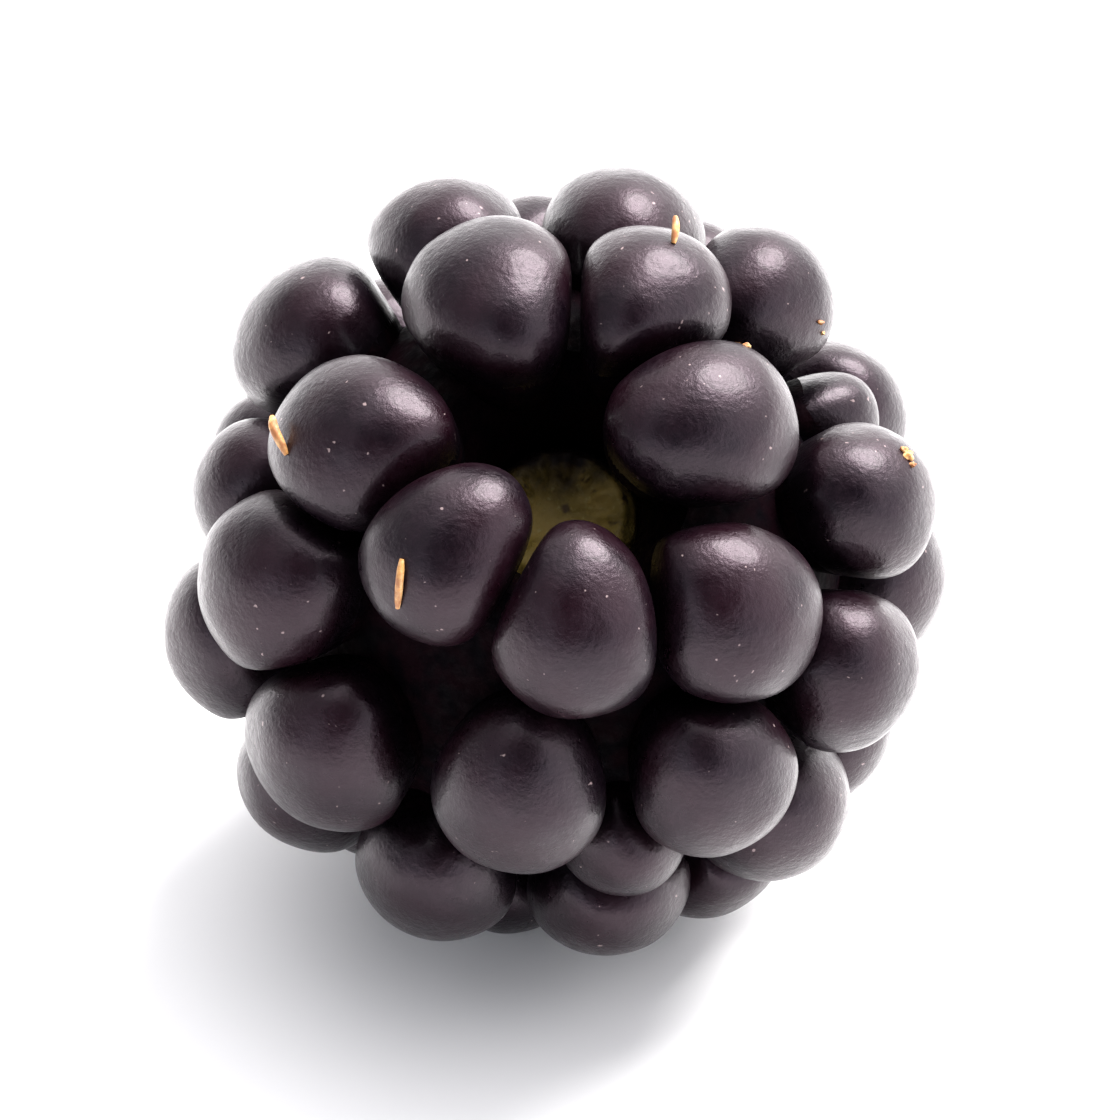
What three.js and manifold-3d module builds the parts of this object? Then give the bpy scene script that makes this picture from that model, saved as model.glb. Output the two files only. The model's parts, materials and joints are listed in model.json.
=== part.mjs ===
// A ripe bramble berry as picked. It lies on a surface with its stem end tipped up and forward (-Y).
// Lengths are in millimetres and angles in degrees, with +Z up. The origin is under the middle of
// the berry, on the surface that it rests on.
import * as THREE from 'three';
import { mergeVertices } from 'three/addons/utils/BufferGeometryUtils.js';
import Module from 'manifold-3d';

// How the berry lies: the height of its stem end's direction above the horizon.
const STEM_END_ELEVATION = 59;

// The drupelets' middles lie on an egg shape round the core, a little longer towards the tip.
const SHELL_RADIUS = 9.1;
const SHELL_TO_STEM = 9.25;
const SHELL_TO_TIP = 9.7;

// One drupelet: a dome, narrower on the side towards the stem, with a long root that thins inwards.
const DRUPELET_RADIUS = 2.45;
const DOME_HEIGHT = 2.3;
const STEMWARD_STRETCH = 1.16;
const STEMWARD_TAPER = 0.15;
const ROOT_DEPTH = 3.4;
const ROOT_TAPER = 0.3;
const DOME_DETAIL = 2;

// Drupelets stand in rings from the stem end to the tip. Polar angles are from the stem end, and
// azimuths run clockwise seen from there, from the upper side. Each ring has its own scatter.
const RINGS = [
  { count: 7, polar: 33, phase: 26, seed: 4304698 },
  { count: 10, polar: 67.5, phase: 11, seed: 3215867 },
  { count: 11, polar: 101.5, phase: 0, seed: 369145 },
  { count: 9, polar: 127.5, phase: 35, seed: 297528 },
  { count: 5, polar: 155, phase: 0, seed: 36372 },
  { count: 1, polar: 180, phase: 0, seed: 1 },
];
const AZIMUTH_SCATTER = 11;
const POLAR_SCATTER = 8.5;
const SIZE_SCATTER = 0.09;
const RISE_SCATTER = 0.2;

// Where the rings leave a gap this wide or wider, a smaller and deeper drupelet has grown into it.
// It overlaps its neighbours a little. Nearer the stem end the gaps stay open.
const FILLED_GAP_RADIUS = 1.28;
const FILLER_OVERLAP = 0.35;
const FILLER_SUNK = 0.5;
const FILLED_FROM_POLAR = 56;
const GAP_SEARCH_POINTS = 1500;

// The flesh between the roots: how far its surface lies below the drupelets' middles.
const FLESH_BELOW_SHELL = 1.15;
const FLESH_DETAIL = 2;

// The hollow in the flesh at the stem end, over the scar: [radius, height along the berry's axis].
// The drupelets round it lean in over its edge.
const HOLLOW_PROFILE = [[0, 3.5], [2.2, 3.5], [2.4, 5], [3.1, 6.3], [4.6, 8.4], [0, 8.4]];

// The receptacle, from its narrow inner end to the broken scar: [radius, height along the axis].
const RECEPTACLE_PROFILE = [
  [0, -6.4], [0.8, -6.2], [1.3, -5.4], [2.1, -2.2], [2.65, 0.8], [2.55, 2.3], [2.1, 3.6],
  [1.8, 3.9], [1.35, 3.75], [0.7, 3.5], [0, 3.45],
];
const SCAR_RADIUS = 1.75;
const RECEPTACLE_SIDES = 24;
const CLEARANCE = 0.3;

// The berry rests on its three lowest drupelets. The highest of the three is pressed flat this deep.
const RESTING_POINTS = 3;
const RESTING_FLAT_DEPTH = 0.25;

const RIPE_SKIN = { color: 0x1c0f16, roughness: 0.3, metalness: 0 };
const PALE_CORE = { color: 0x7a6534, roughness: 0.75, metalness: 0 };

const FULL_TURN = 360;
const radians = THREE.MathUtils.degToRad;

const wasm = await Module();
wasm.setup();

// Steps of the random draw: a linear congruential generator that gives numbers from -1 to 1.
function seededDraw(seed) {
  const MODULUS = 2 ** 32;
  let state = seed;
  return () => {
    state = (state * 1664525 + 1013904223) % MODULUS;
    return (state / MODULUS) * 2 - 1;
  };
}

// A point of the egg shape, grown outwards by rise, at a polar angle and azimuth in radians.
function shellPoint(polar, azimuth, rise) {
  const along = Math.cos(polar) > 0 ? SHELL_TO_STEM : SHELL_TO_TIP;
  const across = (SHELL_RADIUS + rise) * Math.sin(polar);
  return new THREE.Vector3(
    across * Math.sin(azimuth),
    across * Math.cos(azimuth),
    (along + rise) * Math.cos(polar),
  );
}

// The outward direction of the egg shape at one of its points.
function shellNormal(point) {
  const along = point.z > 0 ? SHELL_TO_STEM : SHELL_TO_TIP;
  const across = SHELL_RADIUS ** 2;
  return new THREE.Vector3(point.x / across, point.y / across, point.z / along ** 2).normalize();
}

// Where each drupelet of a ring stands: its middle, its outward direction and its radius.
function placeRing(ring) {
  const draw = seededDraw(ring.seed);
  const places = [];
  for (let i = 0; i < ring.count; i += 1) {
    const azimuth = radians(ring.phase + (FULL_TURN / ring.count) * i + AZIMUTH_SCATTER * draw());
    const polar = radians(ring.polar + POLAR_SCATTER * draw());
    const radius = DRUPELET_RADIUS * (1 + SIZE_SCATTER * draw());
    const middle = shellPoint(polar, azimuth, RISE_SCATTER * draw());
    places.push({ middle, outward: shellNormal(middle), radius });
  }
  return places;
}

// Points spread evenly over the shell by the golden angle, from FILLED_FROM_POLAR to the tip.
function gapSearchPoints() {
  const goldenAngle = Math.PI * (3 - Math.sqrt(5));
  const points = [];
  for (let i = 0; i < GAP_SEARCH_POINTS; i += 1) {
    const polar = Math.acos(1 - (2 * (i + 0.5)) / GAP_SEARCH_POINTS);
    if (polar > radians(FILLED_FROM_POLAR)) points.push({ polar, azimuth: i * goldenAngle });
  }
  return points;
}

// Adds drupelets in the widest gaps, one at a time, until no wide gap is left.
function fillGaps(ringPlaces) {
  const places = [...ringPlaces];
  const spots = gapSearchPoints();
  const gapAt = ({ polar, azimuth }) => {
    const point = shellPoint(polar, azimuth, 0);
    return Math.min(...places.map(({ middle, radius }) => middle.distanceTo(point) - radius));
  };
  for (;;) {
    const gaps = spots.map(gapAt);
    const gap = Math.max(...gaps);
    if (gap < FILLED_GAP_RADIUS) return places;
    const { polar, azimuth } = spots[gaps.indexOf(gap)];
    const radius = Math.min(DRUPELET_RADIUS, gap + FILLER_OVERLAP);
    const middle = shellPoint(polar, azimuth, radius - DRUPELET_RADIUS - FILLER_SUNK);
    places.push({ middle, outward: shellNormal(middle), radius });
  }
}

// One drupelet at its place on the berry.
function drupeletGeometry({ middle, outward, radius }) {
  const geometry = new THREE.IcosahedronGeometry(1, DOME_DETAIL);
  const position = geometry.getAttribute('position');
  const sideways = new THREE.Vector3(0, 0, 1).cross(outward).normalize();
  const stemward = outward.clone().cross(sideways);
  const point = new THREE.Vector3();
  for (let i = 0; i < position.count; i += 1) {
    const [x, y, z] = [position.getX(i), position.getY(i), position.getZ(i)];
    const thinning = 1 + ROOT_TAPER * Math.min(z, 0);
    const size = radius * thinning;
    const height = z > 0 ? DOME_HEIGHT * z : ROOT_DEPTH * z;
    point.copy(middle);
    point.addScaledVector(sideways, size * (1 - STEMWARD_TAPER * y) * x);
    point.addScaledVector(stemward, size * STEMWARD_STRETCH * y);
    point.addScaledVector(outward, height);
    position.setXYZ(i, point.x, point.y, point.z);
  }
  return geometry;
}

// The flesh that the drupelets' roots run into.
function fleshGeometry() {
  const geometry = new THREE.IcosahedronGeometry(1, FLESH_DETAIL);
  const position = geometry.getAttribute('position');
  for (let i = 0; i < position.count; i += 1) {
    const z = position.getZ(i);
    const along = (z > 0 ? SHELL_TO_STEM : SHELL_TO_TIP) - FLESH_BELOW_SHELL;
    const across = SHELL_RADIUS - FLESH_BELOW_SHELL;
    position.setXYZ(i, position.getX(i) * across, position.getY(i) * across, z * along);
  }
  return geometry;
}

// A turned solid about the berry's axis from a list of [radius, height] points.
function turned(profile) {
  const points = profile.map(([radius, height]) => new THREE.Vector2(radius, height));
  const geometry = new THREE.LatheGeometry(points, RECEPTACLE_SIDES);
  return geometry.rotateX(Math.PI / 2);
}

// The receptacle's profile moved outwards by the clearance, and closed level over the scar.
function socketProfile() {
  const rim = RECEPTACLE_PROFILE.findLastIndex(([radius]) => radius > SCAR_RADIUS);
  const sides = RECEPTACLE_PROFILE.slice(1, rim + 1).map(([radius, height]) => [radius + CLEARANCE, height]);
  const bottom = RECEPTACLE_PROFILE[0][1] - CLEARANCE;
  const top = RECEPTACLE_PROFILE[rim][1] + CLEARANCE;
  return [[0, bottom], ...sides, [SCAR_RADIUS + CLEARANCE, top], [0, top]];
}

// A closed solid from a closed geometry, without the collapsed triangles at the ends of a turned one.
function toManifold(geometry) {
  geometry.deleteAttribute('normal');
  geometry.deleteAttribute('uv');
  const merged = mergeVertices(geometry);
  const corners = merged.getIndex().array;
  const triangles = [];
  for (let i = 0; i < corners.length; i += 3) {
    const triangle = [corners[i], corners[i + 1], corners[i + 2]];
    if (new Set(triangle).size === triangle.length) triangles.push(...triangle);
  }
  return new wasm.Manifold(new wasm.Mesh({
    numProp: 3,
    vertProperties: new Float32Array(merged.getAttribute('position').array),
    triVerts: new Uint32Array(triangles),
  }));
}

// The geometry of a solid's outer skin, without pockets that joining has sealed or loose scraps.
function toGeometry(manifold) {
  const skins = manifold.decompose().sort((a, b) => b.volume() - a.volume());
  const mesh = skins[0].getMesh();
  const geometry = new THREE.BufferGeometry();
  geometry.setAttribute('position', new THREE.BufferAttribute(mesh.vertProperties, 3));
  geometry.setIndex(new THREE.BufferAttribute(mesh.triVerts, 1));
  geometry.computeVertexNormals();
  return geometry;
}

// Tips the upright berry so that its stem end looks up and forward.
const lying = new THREE.Matrix4().makeRotationX(radians(90 - STEM_END_ELEVATION));

function lowestHeight(geometry) {
  geometry.computeBoundingBox();
  return geometry.boundingBox.min.z;
}

// A block below the surface that the berry rests on, large enough for the whole berry.
function belowGroundGeometry() {
  const side = 4 * SHELL_RADIUS;
  return new THREE.BoxGeometry(side, side, side).translate(0, 0, -side / 2);
}

function makeBerry() {
  const places = fillGaps(RINGS.flatMap(placeRing));
  const domes = places.map((place) => drupeletGeometry(place).applyMatrix4(lying));
  const lowest = domes.map(lowestHeight).sort((a, b) => a - b)[RESTING_POINTS - 1];
  const raise = -lowest - RESTING_FLAT_DEPTH;
  const settle = (geometry) => toManifold(geometry.translate(0, 0, raise));
  const lay = (geometry) => settle(geometry.applyMatrix4(lying));
  const flesh = lay(fleshGeometry()).subtract(lay(turned(HOLLOW_PROFILE)));
  const cluster = domes.reduce((whole, dome) => whole.add(settle(dome)), flesh);
  const drupelets = toGeometry(cluster
    .subtract(lay(turned(socketProfile())))
    .subtract(toManifold(belowGroundGeometry())));
  const receptacle = toGeometry(lay(turned(RECEPTACLE_PROFILE)));
  drupelets.computeBoundingBox();
  const { min, max } = drupelets.boundingBox;
  const toOrigin = new THREE.Vector3(-(min.x + max.x) / 2, -(min.y + max.y) / 2, 0);
  return { drupelets, receptacle, toOrigin };
}

const { drupelets, receptacle, toOrigin } = makeBerry();

const berry = new THREE.Group();
for (const [name, geometry, finish] of [
  ['drupelets', drupelets, RIPE_SKIN],
  ['receptacle', receptacle, PALE_CORE],
]) {
  const mesh = new THREE.Mesh(geometry, new THREE.MeshStandardMaterial(finish));
  mesh.name = name;
  mesh.position.copy(toOrigin);
  berry.add(mesh);
}

export default berry;
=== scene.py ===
"""A ripe bramble berry, picked and lying on a white surface with its stem end towards the camera.

Lengths in the berry's own rules are in millimetres, as in its solid model, and MM turns them into
Blender's metres. The berry is made upright about its own axis and then tipped back as it lies.
"""
import json
import math
import bmesh
import bpy
import numpy as np
from mathutils import Matrix, Vector, noise
from mathutils.bvhtree import BVHTree

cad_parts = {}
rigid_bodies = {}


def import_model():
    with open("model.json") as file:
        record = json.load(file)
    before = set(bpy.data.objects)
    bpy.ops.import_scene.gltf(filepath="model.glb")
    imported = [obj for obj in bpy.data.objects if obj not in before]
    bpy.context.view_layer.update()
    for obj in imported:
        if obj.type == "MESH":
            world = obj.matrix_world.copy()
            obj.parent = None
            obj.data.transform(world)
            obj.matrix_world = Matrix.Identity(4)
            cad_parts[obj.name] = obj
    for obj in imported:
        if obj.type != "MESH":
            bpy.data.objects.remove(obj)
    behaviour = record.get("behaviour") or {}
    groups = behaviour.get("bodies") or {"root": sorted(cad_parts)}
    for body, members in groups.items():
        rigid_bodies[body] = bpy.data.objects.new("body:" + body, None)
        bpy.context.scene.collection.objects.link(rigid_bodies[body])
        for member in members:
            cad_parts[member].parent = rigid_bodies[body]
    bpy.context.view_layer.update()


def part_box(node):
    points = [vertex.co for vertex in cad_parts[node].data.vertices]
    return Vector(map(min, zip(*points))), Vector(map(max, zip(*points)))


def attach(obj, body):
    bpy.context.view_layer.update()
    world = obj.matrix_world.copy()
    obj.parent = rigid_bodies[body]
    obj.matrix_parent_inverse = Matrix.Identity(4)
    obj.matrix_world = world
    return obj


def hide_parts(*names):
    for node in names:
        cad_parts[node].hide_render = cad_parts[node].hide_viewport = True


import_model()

MM = 0.001

# How the berry lies, and the shell on which its drupelets' middles stand.
STEM_END_ELEVATION = 59
SHELL_RADIUS = 9.1
SHELL_TO_STEM = 9.25
SHELL_TO_TIP = 9.7

# One drupelet.
DRUPELET_RADIUS = 2.45
DOME_HEIGHT = 2.3
STEMWARD_STRETCH = 1.16
STEMWARD_TAPER = 0.15
ROOT_DEPTH = 3.4
ROOT_TAPER = 0.3

# The rings of drupelets: count, polar angle from the stem end, azimuth of the first, seed. Angles
# and their scatter are in degrees, the scatter of size is a share and that of rise is a length.
RINGS = (
    (7, 33, 26, 4304698),
    (10, 67.5, 11, 3215867),
    (11, 101.5, 0, 369145),
    (9, 127.5, 35, 297528),
    (5, 155, 0, 36372),
    (1, 180, 0, 1),
)
AZIMUTH_SCATTER = 11
POLAR_SCATTER = 8.5
SIZE_SCATTER = 0.09
RISE_SCATTER = 0.2

# The smaller and deeper drupelets that have grown into the rings' widest gaps.
FILLED_GAP_RADIUS = 1.28
FILLER_OVERLAP = 0.35
FILLER_SUNK = 0.5
FILLED_FROM_POLAR = 56
GAP_SEARCH_POINTS = 1500

# The flesh under the drupelets, the hollow over the scar and the receptacle: [radius, height].
FLESH_BELOW_SHELL = 1.15
HOLLOW_PROFILE = ((0, 3.5), (2.2, 3.5), (2.4, 5), (3.1, 6.3), (4.6, 8.4), (0, 8.4))
RECEPTACLE_PROFILE = (
    (0, -6.4), (0.8, -6.2), (1.3, -5.4), (2.1, -2.2), (2.65, 0.8), (2.55, 2.3), (2.1, 3.6),
    (1.8, 3.9), (1.35, 3.75), (0.7, 3.5), (0, 3.45),
)
SCAR_RADIUS = 1.75
CLEARANCE = 0.3

# How drupelets press on each other and on the ground: how near another has to be, the slit left
# between two, and how round its lips are. Then the lumps of their skin.
PRESSING_REACH = 0.4
SLIT = 0.14
LIP_ROUNDING = 0.24
GROUND_ROUNDING = 0.03
SKIN_LUMP_HEIGHT = 0.075
SKIN_LUMP_SIZE = 1.6
SKIN_LUMP_OFFSET = 7.0

# The photograph: the pixel of the berry's middle, the scale there, and how many of its pixels the
# render shows. The camera's elevation is in degrees. Rays to the berry start RAY_START before it.
PHOTO_MIDDLE = (734.6, 676.8)
PHOTO_PX_PER_MM = 11.9
FRAMED_PX = 380
CAMERA_ELEVATION = 40
CAMERA_DISTANCE = 280
CAMERA_CLIP_START = 10
CAMERA_SENSOR = 36
RAY_START = 60

GOLDEN_ANGLE = math.pi * (3 - math.sqrt(5))

# The solid model's receptacle has SOLID_RECEPTACLE_SIDES.
DRUPELET_DIVISIONS = 5
FLESH_DIVISIONS = 5
SOLID_RECEPTACLE_SIDES = 24
RECEPTACLE_SIDES = 96
RECEPTACLE_STEP = 0.16
CUT_SIDES = 64
CREASE_ANGLE = 38

# Small relief of the flesh, and how many times the flesh's radius its dark material reaches; past the
# flesh it covers the drupelets' roots deep in the crevices as painted shade.
FLESH_LUMP_SIZE = 0.9
FLESH_LUMP_HEIGHT = 0.12
FLESH_LUMP_OFFSET = 0.5
FLESH_AND_PAINTED_SHADE_REACH = 1.07

# The receptacle's torn end: where it begins, how it fades in with height and from the middle, the
# ring of broken strands, and the size, height and offset of each relief.
TORN_FROM = 3.2
TORN_FADE = 0.5
WHOLE_MIDDLE_RADIUS = 0.3
STRAND_RING = 1.3
STRAND_RING_WIDTH = 0.22
STRAND_HEIGHT = 0.22
STRAND_COUNT = 13
STRAND_SHARPNESS = 6
FINE_FRAY = (0.35, 0.14, 3.0)
COARSE_FRAY = (0.9, 0.16, 9.0)
CORE_WAVE = (1.2, 0.06, 5.0)
WAVE_LEAST_RADIUS = 0.5

# Dried styles seen in the photograph: their pixels there, width and lift towards the camera at each
# pixel in mm, and whether each stands up from its last pixel or lies along the skin.
SEEN_STYLES = (
    (((639.5, 629.5), (640.5, 634), (644.5, 642)), 0.27, (-0.4, -0.05, 0.02), True),
    (((683, 676.5), (682.2, 684), (681.5, 692.5)), 0.23, (0.06, 0.16, 0.08), False),
    (((772.8, 563), (772.9, 567), (772.2, 572)), 0.22, (-0.3, -0.12, 0.02), True),
)
SEEN_STYLE_STEPS = 6
SEEN_STYLE_SIDES = 10
SEEN_STYLE_TAPER = 0.45

# Dried crumbs seen in the photograph: pixel there and width in mm. CRUMB_LIFT is in widths.
SEEN_CRUMBS = (
    ((850.9, 642), 0.34), ((849, 640), 0.24), ((852, 645), 0.2), ((796, 606), 0.22),
    ((794.2, 604.6), 0.16), ((755.4, 670.4), 0.22), ((822, 597), 0.18), ((823, 600.5), 0.14),
)
CRUMB_LIFT = 0.25
CRUMB_PROPORTIONS = (1, 0.8, 0.7)
CRUMB_LUMP_SIZE = 0.7
CRUMB_LUMP_HEIGHT = 0.7
CRUMB_OFFSET = 5.0
CRUMB_DIVISIONS = 3

# The other dried styles: their drupelets, length, and how far up and over they bend, in lengths.
STYLED_DRUPELETS = (17, 27, 28, 34)
STYLE_SEED = 12
STYLE_LENGTH = 1.0
STYLE_LENGTH_SCATTER = 0.3
STYLE_SUNK = 0.12
STYLE_ROOT_ASIDE = 0.15
STYLE_BENDS = ((0.35, 0.08), (0.62, 0.42), (0.66, 0.8))
STYLE_TIP_SCATTER = 0.1
STYLE_ROOT_RADIUS = 0.085
STYLE_THINNING = 0.045
STYLE_STEPS = 5
STYLE_SIDES = 8
STYLE_CREASE_ANGLE = 60

# Colours, as linear red, green and blue.
SKIN_DARK = (0.002, 0.0008, 0.002)
SKIN_WARM = (0.006, 0.0009, 0.0026)
SKIN_BLOOM = (0.02, 0.011, 0.016)
SHEEN_TINT = (1.0, 0.76, 0.92, 1.0)
# The flesh's near-black, also used as painted shade on the skin in the crevices.
FLESH_AND_PAINTED_SHADE_DARK = (0.001, 0.0005, 0.0012)
FLESH_WINE = (0.004, 0.001, 0.002)
SPECK_PALE = (0.2, 0.15, 0.15)
PITH_OLIVE = (0.27, 0.19, 0.04)
PITH_TAN = (0.4, 0.28, 0.08)
PITH_PALE = (0.45, 0.36, 0.14)
PITH_BROWN = (0.08, 0.045, 0.015)
# The painted shade on the back of the scar.
PITH_PAINTED_SHADE = (0.012, 0.005, 0.006)
STYLE_ORANGE = (0.52, 0.25, 0.07)
STYLE_BROWN = (0.28, 0.1, 0.03)
STYLE_PALE = (0.62, 0.4, 0.18)
FLOOR_WHITE = (0.92, 0.92, 0.93)
FLOOR_ROUGHNESS = 0.6
FLOOR_SPECULAR = 0.2

# The distances from the berry's middle between which the skin's painted shade in the crevices, the
# flesh's near-black, fades out to open skin.
CREVICE_PAINTED_SHADE_REACH = 8.6
OPEN_SKIN_REACH = 10.2

# The materials. Noise has a patch size in mm, its detail and, where it isn't the usual one, its
# roughness. Relief has a depth in mm and a strength, and gloss runs between two roughnesses.
SKIN_PATCHES = (2.6, 2)
BLOOM_GRAIN = (0.5, 5, 0.65)
BLOOM_SHARE = 0.3
SPECK_GRAIN = (0.22, 1)
GLOSS_GRAIN = (0.35, 4, 0.6)
SKIN_GLOSS = (0.27, 0.38)
PORE_GRAIN = (0.16, 4, 0.65)
PORE_RELIEF = (0.03, 0.9)
DIMPLE_GRAIN = (0.9, 3)
DIMPLE_RELIEF = (0.07, 0.6)
SKIN_IOR = 1.32
COAT_WEIGHT = 0.1
COAT_ROUGHNESS = 0.12
FLESH_PATCHES = (0.8, 3)
FLESH_GRAIN = (0.3, 3)
FLESH_GLOSS = (0.55, 0.8)
FLESH_RELIEF = (0.08, 0.8)
FLESH_SPECULAR = 0.02
STRAND_GRAIN = (0.18, 4, 0.6)
PITH_PATCHES = (0.9, 3)
PITH_BROWN_PATCHES = (0.5, 2)
PITH_GLOSS = (0.4, 0.65)
PITH_RELIEF = (0.05, 0.8)
PITH_SPECULAR = 0.25
PAINTED_SHADE_GRAIN = (0.6, 3)
STYLE_PATCHES = (0.3, 3)
STYLE_PALE_PATCHES = (0.12, 2)
STYLE_GLOSS_GRAIN = (0.1, 2)
STYLE_GLOSS = (0.45, 0.65)
STYLE_GRAIN = (0.08, 2)
STYLE_RELIEF = (0.01, 0.5)

# Between which values of noise a patch fades in: patches of equal share, softer ones, and rarer ones.
EVEN_EDGES = (0.35, 0.65)
SOFT_EDGES = (0.3, 0.7)
BLOOM_EDGES = (0.35, 0.8)
SPECK_EDGES = (0.76, 0.8)
STRAND_EDGES = (0.55, 0.75)
PITH_BROWN_EDGES = (0.6, 0.75)
STYLE_PALE_EDGES = (0.4, 0.65)

# The painted shade on the back of the scar, where the drupelets above shade it: how far in front of
# the berry's middle it begins, how far behind the middle it is full, and how unevenly its edge runs.
PAINTED_SHADE_FRONT = 1.1
PAINTED_SHADE_BACK = 0.2
PAINTED_SHADE_WAVE = 1.2

# The studio: an evenly bright room, bluish towards the front and warmer behind, above and to the
# right. Tints fade between the cosines of two angles from the warm side.
ROOM_STRENGTH = 2.9
WARM_SIDE = (0.35, 0.7, 0.6)
COOL_UNTIL = -0.8
WARM_FROM = 0.75
COOL_TINT = (0.86, 0.91, 1.0)
WARM_TINT = (1.0, 0.98, 0.985)

# Two dark areas of the room, the photographer's side and the low left. Each has its direction, the
# cosines of the angles from it where the dark begins and is full, and how dark that is.
DARK_AREAS = (
    ((0.0, -0.77, 0.64), 0.62, 0.95, 0.95),
    ((-0.95, 0.1, 0.25), 0.45, 0.9, 0.75),
)

# The window light, with its distance and size in metres, and the floor's reach in metres.
WINDOW_DIRECTION = (0.45, 0.45, 0.8)
WINDOW_DISTANCE = 0.4
WINDOW_SIZE = 0.3
WINDOW_WATTS = 6.2
WINDOW_TINT = (1, 0.98, 0.96)
FLOOR_REACH = 2


def seeded_draw(seed):
    """A linear congruential generator of numbers from -1 to 1."""
    modulus = 2**32
    multiplier = 1664525
    increment = 1013904223
    state = seed
    while True:
        state = (state * multiplier + increment) % modulus
        yield state / modulus * 2 - 1


def shell_point(polar, azimuth, rise):
    """A point of the shell, or rise above it."""
    along = SHELL_TO_STEM if math.cos(polar) > 0 else SHELL_TO_TIP
    across = (SHELL_RADIUS + rise) * math.sin(polar)
    x = across * math.sin(azimuth)
    y = across * math.cos(azimuth)
    return Vector((x, y, (along + rise) * math.cos(polar)))


def shell_normal(point):
    """The direction straight out of the shell at a point."""
    along = SHELL_TO_STEM if point.z > 0 else SHELL_TO_TIP
    slope = Vector((point.x / SHELL_RADIUS**2, point.y / SHELL_RADIUS**2, point.z / along**2))
    return slope.normalized()


class Place:
    """Where one drupelet stands: its middle, its radius and its own three directions."""

    def __init__(self, middle, radius):
        self.middle = middle
        self.radius = radius
        self.outward = shell_normal(middle)
        self.sideways = Vector((0, 0, 1)).cross(self.outward).normalized()
        self.stemward = self.outward.cross(self.sideways)


def ring_places():
    """The places of the rings' drupelets, each with its own scatter."""
    places = []
    for count, polar, phase, seed in RINGS:
        draw = seeded_draw(seed)
        for i in range(count):
            azimuth = math.radians(phase + 360 / count * i + AZIMUTH_SCATTER * next(draw))
            lean = math.radians(polar + POLAR_SCATTER * next(draw))
            radius = DRUPELET_RADIUS * (1 + SIZE_SCATTER * next(draw))
            places.append(Place(shell_point(lean, azimuth, RISE_SCATTER * next(draw)), radius))
    return places


def fill_gaps(places):
    """Adds a drupelet in the widest gap until no wide gap is left."""
    spots = []
    for i in range(GAP_SEARCH_POINTS):
        polar = math.acos(1 - 2 * (i + 0.5) / GAP_SEARCH_POINTS)
        if polar > math.radians(FILLED_FROM_POLAR):
            spots.append((polar, i * GOLDEN_ANGLE))
    points = np.array([shell_point(polar, azimuth, 0) for polar, azimuth in spots])
    while True:
        middles = np.array([place.middle for place in places])
        radii = np.array([place.radius for place in places])
        reach = np.linalg.norm(points[:, None] - middles[None], axis=2) - radii
        gaps = reach.min(axis=1)
        widest = int(gaps.argmax())
        if gaps[widest] < FILLED_GAP_RADIUS:
            return places
        radius = min(DRUPELET_RADIUS, gaps[widest] + FILLER_OVERLAP)
        middle = shell_point(*spots[widest], radius - DRUPELET_RADIUS - FILLER_SUNK)
        places.append(Place(middle, float(radius)))


def soft_min(value, limit, rounding):
    """The smaller of value and limit, with a rounded corner between them."""
    over = (value - limit) / rounding
    return value - rounding * np.logaddexp(0, over)


def unit_ball(divisions):
    """Directions and faces of an even ball."""
    mesh = bmesh.new()
    bmesh.ops.create_icosphere(mesh, subdivisions=divisions, radius=1)
    directions = np.array([v.co[:] for v in mesh.verts])
    faces = [[v.index for v in f.verts] for f in mesh.faces]
    mesh.free()
    return directions / np.linalg.norm(directions, axis=1)[:, None], faces


def drupelet_points(place, directions):
    """The ball's directions as points of one drupelet, before it is pressed."""
    x, y, z = directions.T
    thinning = 1 + ROOT_TAPER * np.minimum(z, 0)
    width = place.radius * thinning * (1 - STEMWARD_TAPER * y) * x
    length = place.radius * thinning * STEMWARD_STRETCH * y
    height = np.where(z > 0, DOME_HEIGHT, ROOT_DEPTH) * z
    sides = (width, place.sideways), (length, place.stemward), (height, place.outward)
    return np.array(place.middle) + sum(np.outer(size, np.array(axis)) for size, axis in sides)


def lumps(points, size, height, offset):
    """Smooth noise at each point, from minus to plus the height."""
    shift = Vector((offset, 0, 0))
    return np.array([noise.noise(Vector(p) / size + shift) for p in points]) * height


def press(points, place, neighbours):
    """Flattens a drupelet's sides where its neighbours press on it."""
    middle = np.array(place.middle)
    for other in neighbours:
        towards = np.array(other.middle) - middle
        distance = np.linalg.norm(towards)
        towards /= distance
        border = (distance**2 + place.radius**2 - other.radius**2) / (2 * distance)
        along = (points - middle) @ towards
        moved = soft_min(along, border - SLIT / 2, LIP_ROUNDING)
        points = points + np.outer(moved - along, towards)
    return points


def new_object(name, points, faces):
    """An object of a new mesh, in the scene."""
    mesh = bpy.data.meshes.new(name)
    mesh.from_pydata([tuple(p) for p in points], [], faces)
    mesh.update()
    made = bpy.data.objects.new(name, mesh)
    bpy.context.scene.collection.objects.link(made)
    return made


def turned(profile, sides):
    """Points and faces of a closed turned solid about the berry's axis."""
    points = []
    rows = []
    for radius, height in profile:
        if radius == 0:
            rows.append([len(points)] * sides)
            points.append((0, 0, height))
            continue
        rows.append(list(range(len(points), len(points) + sides)))
        for i in range(sides):
            angle = 2 * math.pi * i / sides
            points.append((radius * math.cos(angle), radius * math.sin(angle), height))
    faces = []
    for lower, upper in zip(rows, rows[1:]):
        for i in range(sides):
            j = (i + 1) % sides
            ring = [lower[i], lower[j], upper[j], upper[i]]
            corners = list(dict.fromkeys(ring))
            if len(corners) > 2:
                faces.append(corners)
    return np.array(points, dtype=float), faces


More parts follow.
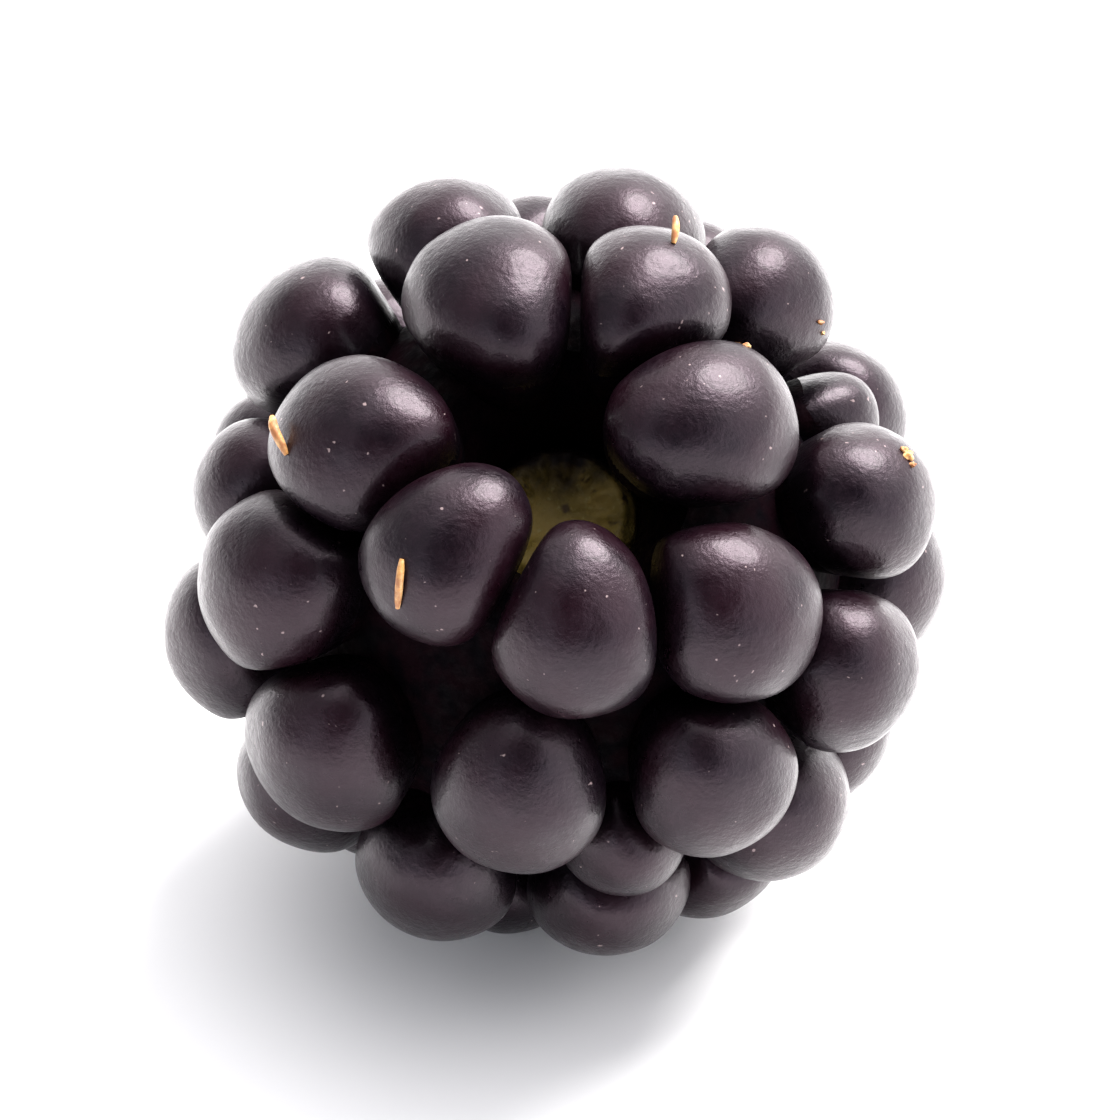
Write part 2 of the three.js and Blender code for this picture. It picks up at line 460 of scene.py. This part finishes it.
def socket_profile():
    """The receptacle's profile up to its scar, with clearance round it."""
    rim = max(i for i, (radius, _) in enumerate(RECEPTACLE_PROFILE) if radius > SCAR_RADIUS)
    sides = [(radius + CLEARANCE, height) for radius, height in RECEPTACLE_PROFILE[1:rim + 1]]
    top = RECEPTACLE_PROFILE[rim][1] + CLEARANCE
    bottom = RECEPTACLE_PROFILE[0][1] - CLEARANCE
    return [(0, bottom), *sides, (SCAR_RADIUS + CLEARANCE, top), (0, top)]


def apply_boolean(target, operation, operand):
    """Joins or cuts a closed mesh by an object or a collection, and keeps the result in its mesh."""
    cut = target.modifiers.new("join", "BOOLEAN")
    cut.operation = operation
    cut.solver = "MANIFOLD"
    if isinstance(operand, bpy.types.Collection):
        cut.operand_type = "COLLECTION"
        cut.collection = operand
    else:
        cut.object = operand
    shown = target.evaluated_get(bpy.context.evaluated_depsgraph_get())
    result = bpy.data.meshes.new_from_object(shown)
    target.modifiers.clear()
    target.data = result


def keep_largest_body(target):
    """Drops sealed pockets and loose scraps."""
    mesh = bmesh.new()
    mesh.from_mesh(target.data)
    unseen = set(mesh.verts)
    bodies = []
    while unseen:
        front = [unseen.pop()]
        body = list(front)
        while front:
            for edge in front.pop().link_edges:
                for vert in edge.verts:
                    if vert in unseen:
                        unseen.discard(vert)
                        front.append(vert)
                        body.append(vert)
        bodies.append(body)
    bodies.sort(key=len)
    for body in bodies[:-1]:
        bmesh.ops.delete(mesh, geom=body, context="VERTS")
    mesh.to_mesh(target.data)
    mesh.free()


def berry_middle():
    """Where the berry's own middle lies, in millimetres, found from its packed receptacle."""
    points, _ = turned(RECEPTACLE_PROFILE, SOLID_RECEPTACLE_SIDES)
    low = np.array(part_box("receptacle")[0]) / MM
    return low - (points @ LAY.T).min(axis=0)


# How the berry lies in the world, the camera's own directions, and every drupelet's place.
LAY = np.array(Matrix.Rotation(math.radians(90 - STEM_END_ELEVATION), 3, "X"))
OFFSET = berry_middle()
MIDDLE = Vector(OFFSET * MM)
VIEW_TILT = math.radians(CAMERA_ELEVATION)
VIEW_RIGHT = Vector((1, 0, 0))
VIEW_UP = Vector((0, math.sin(VIEW_TILT), math.cos(VIEW_TILT)))
VIEW_BACK = Vector((0, -math.cos(VIEW_TILT), math.sin(VIEW_TILT)))
PLACES = fill_gaps(ring_places())


def to_world(points):
    """Berry millimetres to world metres."""
    return (points @ LAY.T + OFFSET) * MM


def placed(solid):
    """A solid's points in world metres, with its faces."""
    points, faces = solid
    return to_world(points), faces


def directions_out(place, directions):
    """The ball's directions turned to stand on the drupelet's place."""
    axes = np.array([place.sideways, place.stemward, place.outward])
    return directions @ axes


def pressed_drupelets():
    """Every drupelet's pressed surface, in the berry's own upright millimetres."""
    directions, faces = unit_ball(DRUPELET_DIVISIONS)
    solids = []
    for index, place in enumerate(PLACES):
        near = [
            other for other in PLACES
            if other is not place
            and (other.middle - place.middle).length < place.radius + other.radius + PRESSING_REACH
        ]
        points = drupelet_points(place, directions)
        swell = lumps(points, SKIN_LUMP_SIZE, SKIN_LUMP_HEIGHT, SKIN_LUMP_OFFSET * index)
        points = points + directions_out(place, directions) * swell[:, None]
        solids.append(press(points, place, near))
    return solids, faces


def flesh_solid():
    """The flesh under the drupelets, in the berry's own upright millimetres."""
    directions, faces = unit_ball(FLESH_DIVISIONS)
    along = np.where(directions[:, 2] > 0, SHELL_TO_STEM, SHELL_TO_TIP) - FLESH_BELOW_SHELL
    across = SHELL_RADIUS - FLESH_BELOW_SHELL
    points = directions * np.stack([np.full(len(along), across)] * 2 + [along], axis=1)
    swell = lumps(points, FLESH_LUMP_SIZE, FLESH_LUMP_HEIGHT, FLESH_LUMP_OFFSET)
    return points + directions * swell[:, None], faces


def rest_on_ground(points):
    """Presses world points flat on the ground, in metres."""
    points = points.copy()
    points[:, 2] = -soft_min(-points[:, 2], 0, GROUND_ROUNDING * MM)
    return points


def mark_flesh_and_painted_shade(skin):
    """Gives the second material to the faces of the flesh between the drupelets and in the hollow,
    and as painted shade to the drupelets' faces deep in the crevices.
    """
    mesh = skin.data
    count = len(mesh.polygons)
    centres = np.empty(count * 3)
    mesh.polygons.foreach_get("center", centres)
    upright = (centres.reshape(-1, 3) / MM - OFFSET) @ LAY
    along = np.where(upright[:, 2] > 0, SHELL_TO_STEM, SHELL_TO_TIP) - FLESH_BELOW_SHELL
    across = SHELL_RADIUS - FLESH_BELOW_SHELL
    depth = np.sqrt((upright[:, 0]**2 + upright[:, 1]**2) / across**2 + (upright[:, 2] / along)**2)
    # Painted shade: the reach passes the flesh, so the drupelets' roots deep in the crevices also get
    # the near-black flesh.
    mesh.polygons.foreach_set("material_index", (depth < FLESH_AND_PAINTED_SHADE_REACH).astype(int).tolist())
    mesh.update()


def make_drupelet_skin():
    """The cluster of drupelets on its flesh, as one closed body."""
    skin = new_object("drupelet_skin", *placed(flesh_solid()))
    hollow = new_object("hollow", *placed(turned(HOLLOW_PROFILE, CUT_SIDES)))
    apply_boolean(skin, "DIFFERENCE", hollow)
    bunch = bpy.data.collections.new("drupelets_to_join")
    solids, faces = pressed_drupelets()
    for index, points in enumerate(solids):
        dome = new_object(f"drupelet_{index}", rest_on_ground(to_world(points)), faces)
        bunch.objects.link(dome)
    apply_boolean(skin, "UNION", bunch)
    socket = new_object("socket", *placed(turned(socket_profile(), CUT_SIDES)))
    apply_boolean(skin, "DIFFERENCE", socket)
    for helper in [hollow, socket, *bunch.objects]:
        bpy.data.objects.remove(helper)
    bpy.data.collections.remove(bunch)
    keep_largest_body(skin)
    skin.data.shade_smooth()
    skin.data.set_sharp_from_angle(angle=math.radians(CREASE_ANGLE))
    skin.data.materials.clear()
    skin.data.materials.append(ripe_skin())
    skin.data.materials.append(dark_flesh_and_painted_shade())
    mark_flesh_and_painted_shade(skin)
    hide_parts("drupelets")
    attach(skin, "root")
    return skin


def refined(profile, step):
    """The profile with points added so that none are more than step apart."""
    rows = [profile[0]]
    for (r0, h0), (r1, h1) in zip(profile, profile[1:]):
        parts = max(1, math.ceil(math.hypot(r1 - r0, h1 - h0) / step))
        for k in range(1, parts + 1):
            rows.append((r0 + (r1 - r0) * k / parts, h0 + (h1 - h0) * k / parts))
    return rows


def make_receptacle():
    """The pale core. Its torn top has a frayed rim and a ring of broken strands."""
    points, faces = turned(refined(RECEPTACLE_PROFILE, RECEPTACLE_STEP), RECEPTACLE_SIDES)
    radius = np.hypot(points[:, 0], points[:, 1])
    azimuth = np.arctan2(points[:, 1], points[:, 0])
    above = (points[:, 2] - TORN_FROM) / TORN_FADE
    torn = np.clip(above, 0, 1) * np.clip(radius / WHOLE_MIDDLE_RADIUS, 0, 1)
    on_ring = np.exp(-((radius - STRAND_RING) / STRAND_RING_WIDTH) ** 2)
    strand = on_ring * np.cos(azimuth * STRAND_COUNT / 2) ** STRAND_SHARPNESS
    fray = lumps(points, *FINE_FRAY) + lumps(points, *COARSE_FRAY)
    points[:, 2] += torn * (STRAND_HEIGHT * strand + fray)
    wave = lumps(points, *CORE_WAVE) * (1 - torn)
    points[:, :2] *= (1 + wave / np.maximum(radius, WAVE_LEAST_RADIUS))[:, None]
    core = new_object("receptacle_core", to_world(points), faces)
    core.data.shade_smooth()
    core.data.materials.append(pale_core())
    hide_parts("receptacle")
    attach(core, "root")


def tube(spine, radii, sides):
    """Points and faces of a closed round tube along a list of world points."""
    points = []
    faces = []
    side = None
    for i, at in enumerate(spine):
        ahead = (spine[min(i + 1, len(spine) - 1)] - spine[max(i - 1, 0)]).normalized()
        if side is None:
            side = ahead.orthogonal().normalized()
        side = (side - ahead * side.dot(ahead)).normalized()
        up = ahead.cross(side)
        for k in range(sides):
            angle = 2 * math.pi * k / sides
            points.append(at + (side * math.cos(angle) + up * math.sin(angle)) * radii[i])
    for i in range(len(spine) - 1):
        for k in range(sides):
            j = (k + 1) % sides
            a, b = i * sides, (i + 1) * sides
            faces.append((a + k, a + j, b + j, b + k))
    faces.append(tuple(reversed(range(sides))))
    faces.append(tuple(range((len(spine) - 1) * sides, len(spine) * sides)))
    return points, faces


def smooth_path(knots, steps):
    """A smooth path through the knots."""
    padded = [knots[0] * 2 - knots[1], *knots, knots[-1] * 2 - knots[-2]]
    path = []
    for a, b, c, d in zip(padded, padded[1:], padded[2:], padded[3:]):
        squared = 2 * a - 5 * b + 4 * c - d
        cubed = 3 * b - a - 3 * c + d
        for k in range(steps):
            t = k / steps
            path.append(0.5 * (2 * b + (c - a) * t + squared * t**2 + cubed * t**3))
    path.append(knots[-1])
    return path


def join_solids(name, solids):
    """One object of several solids, each with its world points and its faces."""
    points, faces = [], []
    for more_points, more_faces in solids:
        start = len(points)
        points.extend(more_points)
        faces.extend(tuple(start + k for k in face) for face in more_faces)
    made = new_object(name, points, faces)
    made.data.shade_smooth()
    made.data.set_sharp_from_angle(angle=math.radians(STYLE_CREASE_ANGLE))
    return made


def view_step(start, end, lift):
    """The way from one pixel of the photograph to another, and lift mm towards the camera."""
    right = (end[0] - start[0]) / PHOTO_PX_PER_MM
    up = (start[1] - end[1]) / PHOTO_PX_PER_MM
    return (VIEW_RIGHT * right + VIEW_UP * up + VIEW_BACK * lift) * MM


def photo_point(tree, pixel, lift):
    """The point of the berry behind a pixel of the photograph, lifted lift mm towards the camera."""
    start = MIDDLE + view_step(PHOTO_MIDDLE, pixel, RAY_START)
    hit, _, _, _ = tree.ray_cast(start, -VIEW_BACK)
    return hit + VIEW_BACK * lift * MM


def seen_style(tree, pixels, width, lift, standing):
    """A dried style through pixels of the photograph. A standing one rises off its last pixel."""
    knots = [photo_point(tree, pixel, rise) for pixel, rise in zip(pixels, lift)]
    if standing:
        foot = knots[-1]
        above = [foot + view_step(pixels[-1], pixel, rise) for pixel, rise in zip(pixels, lift)]
        knots = [*above[:-1], foot]
    spine = smooth_path(knots, SEEN_STYLE_STEPS)
    radii = []
    for i in range(len(spine)):
        from_middle = abs(2 * i / (len(spine) - 1) - 1)
        radii.append(width * MM / 2 * (1 - SEEN_STYLE_TAPER * from_middle**3))
    return tube(spine, radii, SEEN_STYLE_SIDES)


def grown_style(place, draw):
    """A dried style that stands on the middle of a drupelet and bends over."""
    out, side, stem = place.outward, place.sideways, place.stemward
    turn = math.pi * next(draw)
    lean = side * math.cos(turn) + stem * math.sin(turn)
    length = STYLE_LENGTH + STYLE_LENGTH_SCATTER * next(draw)
    root = place.middle + out * (DOME_HEIGHT - STYLE_SUNK) + lean * STYLE_ROOT_ASIDE
    knots = [root, *(root + (out * up + lean * over) * length for up, over in STYLE_BENDS)]
    knots[-1] += lean * length * STYLE_TIP_SCATTER * next(draw)
    world = [Vector(p) for p in to_world(np.array(knots))]
    spine = smooth_path(world, STYLE_STEPS)
    last = len(spine) - 1
    radii = [MM * (STYLE_ROOT_RADIUS - STYLE_THINNING * i / last) for i in range(len(spine))]
    return tube(spine, radii, STYLE_SIDES)


def seen_crumb(tree, pixel, width, offset):
    """A dried scrap, as a small uneven lump partly sunk in the skin."""
    middle = photo_point(tree, pixel, width * CRUMB_LIFT)
    directions, faces = unit_ball(CRUMB_DIVISIONS)
    reach = width / 2 * (1 + lumps(directions, CRUMB_LUMP_SIZE, CRUMB_LUMP_HEIGHT, offset))
    points = np.array(middle) + directions * CRUMB_PROPORTIONS * reach[:, None] * MM
    return [Vector(p) for p in points], faces


def make_styles(skin):
    """The dried styles and crumbs on the skin, as one piece."""
    tree = BVHTree.FromObject(skin, bpy.context.evaluated_depsgraph_get())
    solids = [seen_style(tree, *style) for style in SEEN_STYLES]
    for number, (pixel, width) in enumerate(SEEN_CRUMBS):
        solids.append(seen_crumb(tree, pixel, width, CRUMB_OFFSET * number))
    draw = seeded_draw(STYLE_SEED)
    for index in STYLED_DRUPELETS:
        solids.append(grown_style(PLACES[index], draw))
    styles = join_solids("dried_styles", solids)
    styles.data.materials.append(dry_style())
    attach(styles, "root")


class Shader:
    """A Principled material and short ways to add nodes to it."""

    def __init__(self, name):
        self.material = bpy.data.materials.new(name)
        self.material.use_nodes = True
        self.tree = self.material.node_tree
        self.surface = self.tree.nodes["Principled BSDF"]
        self.place = self.add("ShaderNodeTexCoord").outputs["Object"]

    def add(self, kind, **values):
        """A new node with its own settings."""
        node = self.tree.nodes.new(kind)
        for key, value in values.items():
            setattr(node, key, value)
        return node

    def set(self, node, **inputs):
        """Sets or links a node's inputs, whose names have underscores for spaces."""
        for key, value in inputs.items():
            socket = node.inputs[key.replace("_", " ")]
            if isinstance(value, bpy.types.NodeSocket):
                self.tree.links.new(value, socket)
            else:
                socket.default_value = value
        return node

    def noise(self, size_mm, detail=3, roughness=0.5):
        """Noise from 0 to 1 whose patches are about size_mm across."""
        node = self.add("ShaderNodeTexNoise")
        scale = 1 / (size_mm * MM)
        self.set(node, Vector=self.place, Scale=scale, Detail=detail, Roughness=roughness)
        return node.outputs["Fac"]

    def between(self, value, low, high, to_low=0.0, to_high=1.0):
        """A smooth step from to_low to to_high as the value goes from low to high."""
        node = self.add("ShaderNodeMapRange", interpolation_type="SMOOTHSTEP")
        self.set(node, Value=value, From_Min=low, From_Max=high, To_Min=to_low, To_Max=to_high)
        return node.outputs["Result"]

    def mix(self, factor, low, high):
        """A colour from low at factor 0 to high at factor 1."""
        node = self.add("ShaderNodeMix", data_type="RGBA")
        for key, value in ((0, factor), (6, low), (7, high)):
            if isinstance(value, bpy.types.NodeSocket):
                self.tree.links.new(value, node.inputs[key])
            elif key == 0:
                node.inputs[key].default_value = value
            else:
                node.inputs[key].default_value = (*value, 1)
        return node.outputs[2]

    def maths(self, operation, a, b):
        """The result of an operation on two values."""
        node = self.add("ShaderNodeMath", operation=operation)
        for key, value in ((0, a), (1, b)):
            if isinstance(value, bpy.types.NodeSocket):
                self.tree.links.new(value, node.inputs[key])
            else:
                node.inputs[key].default_value = value
        return node.outputs[0]

    def bump(self, height, distance_mm, strength, after=None):
        """A normal for relief of the height, on top of the relief in after."""
        node = self.add("ShaderNodeBump")
        self.set(node, Height=height, Distance=distance_mm * MM, Strength=strength)
        if after is not None:
            self.tree.links.new(after, node.inputs["Normal"])
        return node.outputs["Normal"]


def ripe_skin():
    """Purple-black skin with a thin waxy bloom, fine pores and pale specks, and painted shade that
    darkens it to near-black deep in the crevices.
    """
    s = Shader("ripe_skin")
    offset = s.add("ShaderNodeVectorMath", operation="SUBTRACT")
    s.tree.links.new(s.place, offset.inputs[0])
    offset.inputs[1].default_value = MIDDLE
    reach = s.add("ShaderNodeVectorMath", operation="LENGTH")
    s.tree.links.new(offset.outputs[0], reach.inputs[0])
    clear_of_painted_shade = s.between(reach.outputs["Value"], CREVICE_PAINTED_SHADE_REACH * MM, OPEN_SKIN_REACH * MM)
    patches = s.between(s.noise(*SKIN_PATCHES), *EVEN_EDGES)
    skin = s.mix(patches, SKIN_DARK, SKIN_WARM)
    bloom = s.between(s.noise(*BLOOM_GRAIN), *BLOOM_EDGES)
    skin = s.mix(s.maths("MULTIPLY", bloom, BLOOM_SHARE), skin, SKIN_BLOOM)
    # Painted shade: towards the berry's middle, down in the crevices, the skin fades to the flesh's
    # near-black.
    skin = s.mix(clear_of_painted_shade, FLESH_AND_PAINTED_SHADE_DARK, skin)
    specks = s.maths("MULTIPLY", s.between(s.noise(*SPECK_GRAIN), *SPECK_EDGES), clear_of_painted_shade)
    skin = s.mix(specks, skin, SPECK_PALE)
    s.set(s.surface, Base_Color=skin)
    gloss = s.between(s.noise(*GLOSS_GRAIN), *SOFT_EDGES, *SKIN_GLOSS)
    s.set(s.surface, Roughness=gloss)
    pores = s.bump(s.noise(*PORE_GRAIN), *PORE_RELIEF)
    s.set(s.surface, Normal=s.bump(s.noise(*DIMPLE_GRAIN), *DIMPLE_RELIEF, pores))
    s.set(s.surface, IOR=SKIN_IOR, Coat_Weight=COAT_WEIGHT, Coat_Roughness=COAT_ROUGHNESS)
    s.set(s.surface, Specular_Tint=SHEEN_TINT)
    return s.material


def dark_flesh_and_painted_shade():
    """Wet, nearly black flesh down between the drupelets. Its near-black and weak gloss are partly
    painted shade: it also covers the drupelets' roots deep in the crevices.
    """
    s = Shader("dark_flesh_and_painted_shade")
    tone = s.between(s.noise(*FLESH_PATCHES), *EVEN_EDGES)
    s.set(s.surface, Base_Color=s.mix(tone, FLESH_AND_PAINTED_SHADE_DARK, FLESH_WINE))
    grain = s.noise(*FLESH_GRAIN)
    s.set(s.surface, Roughness=s.between(grain, *SOFT_EDGES, *FLESH_GLOSS))
    s.set(s.surface, Normal=s.bump(grain, *FLESH_RELIEF), Specular_IOR_Level=FLESH_SPECULAR)
    return s.material


def pale_core():
    """Moist pith, olive and tan with brown patches and fine strands, and darkened at the back with
    painted shade.
    """
    s = Shader("pale_core")
    strands = s.noise(*STRAND_GRAIN)
    tone = s.between(s.noise(*PITH_PATCHES), *EVEN_EDGES)
    pith = s.mix(tone, PITH_OLIVE, PITH_TAN)
    pith = s.mix(s.between(strands, *STRAND_EDGES), pith, PITH_PALE)
    pith = s.mix(s.between(s.noise(*PITH_BROWN_PATCHES), *PITH_BROWN_EDGES), pith, PITH_BROWN)
    back = s.add("ShaderNodeSeparateXYZ")
    s.tree.links.new(s.place, back.inputs[0])
    wave = s.maths("MULTIPLY", s.noise(*PAINTED_SHADE_GRAIN), PAINTED_SHADE_WAVE * MM)
    uneven = s.maths("ADD", back.outputs["Y"], wave)
    scar_painted_shade = s.between(uneven, MIDDLE.y - PAINTED_SHADE_FRONT * MM, MIDDLE.y + PAINTED_SHADE_BACK * MM)
    # Painted shade: the back of the scar, shaded by the drupelets above, is painted dark.
    pith = s.mix(scar_painted_shade, pith, PITH_PAINTED_SHADE)
    s.set(s.surface, Base_Color=pith, Roughness=s.between(strands, *SOFT_EDGES, *PITH_GLOSS))
    s.set(s.surface, Normal=s.bump(strands, *PITH_RELIEF), Specular_IOR_Level=PITH_SPECULAR)
    return s.material


def dry_style():
    """Dry orange-brown hair, darker in patches."""
    s = Shader("dry_style")
    tone = s.between(s.noise(*STYLE_PATCHES), *EVEN_EDGES)
    pale = s.between(s.noise(*STYLE_PALE_PATCHES), *STYLE_PALE_EDGES)
    tan = s.mix(pale, STYLE_ORANGE, STYLE_PALE)
    s.set(s.surface, Base_Color=s.mix(tone, tan, STYLE_BROWN))
    s.set(s.surface, Roughness=s.between(s.noise(*STYLE_GLOSS_GRAIN), *SOFT_EDGES, *STYLE_GLOSS))
    s.set(s.surface, Normal=s.bump(s.noise(*STYLE_GRAIN), *STYLE_RELIEF))
    return s.material


def make_floor():
    """The white surface that the berry lies on."""
    corners = [(x * FLOOR_REACH, y * FLOOR_REACH, 0) for x, y in ((-1, -1), (1, -1), (1, 1), (-1, 1))]
    floor = new_object("floor", corners, [(0, 1, 2, 3)])
    s = Shader("white_surface")
    s.set(s.surface, Base_Color=(*FLOOR_WHITE, 1), Roughness=FLOOR_ROUGHNESS)
    s.set(s.surface, Specular_IOR_Level=FLOOR_SPECULAR)
    floor.data.materials.append(s.material)


def make_camera():
    """The camera, whose picture is FRAMED_PX of the photograph round the berry's middle."""
    data = bpy.data.cameras.new("camera")
    data.sensor_width = CAMERA_SENSOR
    data.lens = CAMERA_SENSOR * CAMERA_DISTANCE / (FRAMED_PX / PHOTO_PX_PER_MM)
    data.clip_start = CAMERA_CLIP_START * MM
    camera = bpy.data.objects.new("camera", data)
    axes = Matrix((VIEW_RIGHT, VIEW_UP, VIEW_BACK)).transposed().to_4x4()
    camera.matrix_world = Matrix.Translation(MIDDLE + VIEW_BACK * CAMERA_DISTANCE * MM) @ axes
    bpy.context.scene.collection.objects.link(camera)
    bpy.context.scene.camera = camera


def make_window():
    """The soft light above, behind and right of the berry, which makes the drupelets' highlights."""
    data = bpy.data.lights.new("window", "AREA")
    data.shape = "DISK"
    data.size = WINDOW_SIZE
    data.energy = WINDOW_WATTS
    data.color = WINDOW_TINT
    light = bpy.data.objects.new("window", data)
    towards = Vector(WINDOW_DIRECTION).normalized()
    turn = towards.to_track_quat("Z", "Y").to_matrix().to_4x4()
    light.matrix_world = Matrix.Translation(MIDDLE + towards * WINDOW_DISTANCE) @ turn
    bpy.context.scene.collection.objects.link(light)


def make_surroundings():
    """The room's light, with the dark areas in it."""
    world = bpy.data.worlds.new("studio")
    world.use_nodes = True
    tree = world.node_tree
    place = tree.nodes.new("ShaderNodeTexCoord")

    def towards(direction, low, high, to_low, to_high):
        """A value that fades from to_low to to_high as a ray's way turns to the direction."""
        facing = tree.nodes.new("ShaderNodeVectorMath")
        facing.operation = "DOT_PRODUCT"
        facing.inputs[1].default_value = Vector(direction).normalized()
        tree.links.new(place.outputs["Generated"], facing.inputs[0])
        fade = tree.nodes.new("ShaderNodeMapRange")
        fade.interpolation_type = "SMOOTHSTEP"
        limits = {"From Min": low, "From Max": high, "To Min": to_low, "To Max": to_high}
        for key, value in limits.items():
            fade.inputs[key].default_value = value
        tree.links.new(facing.outputs["Value"], fade.inputs["Value"])
        return fade.outputs["Result"]

    room = tree.nodes.new("ShaderNodeValue")
    room.outputs[0].default_value = ROOM_STRENGTH
    strength = room.outputs[0]
    for direction, low, high, depth in DARK_AREAS:
        product = tree.nodes.new("ShaderNodeMath")
        product.operation = "MULTIPLY"
        tree.links.new(strength, product.inputs[0])
        tree.links.new(towards(direction, low, high, 1, 1 - depth), product.inputs[1])
        strength = product.outputs[0]
    tint = tree.nodes.new("ShaderNodeMix")
    tint.data_type = "RGBA"
    tint.inputs[6].default_value = (*COOL_TINT, 1)
    tint.inputs[7].default_value = (*WARM_TINT, 1)
    tree.links.new(towards(WARM_SIDE, COOL_UNTIL, WARM_FROM, 0, 1), tint.inputs[0])
    background = tree.nodes["Background"]
    tree.links.new(tint.outputs[2], background.inputs["Color"])
    tree.links.new(strength, background.inputs["Strength"])
    bpy.context.scene.world = world


make_camera()
skin = make_drupelet_skin()
make_receptacle()
make_styles(skin)
make_floor()
make_surroundings()
make_window()
bpy.context.scene.view_settings.view_transform = "Standard"
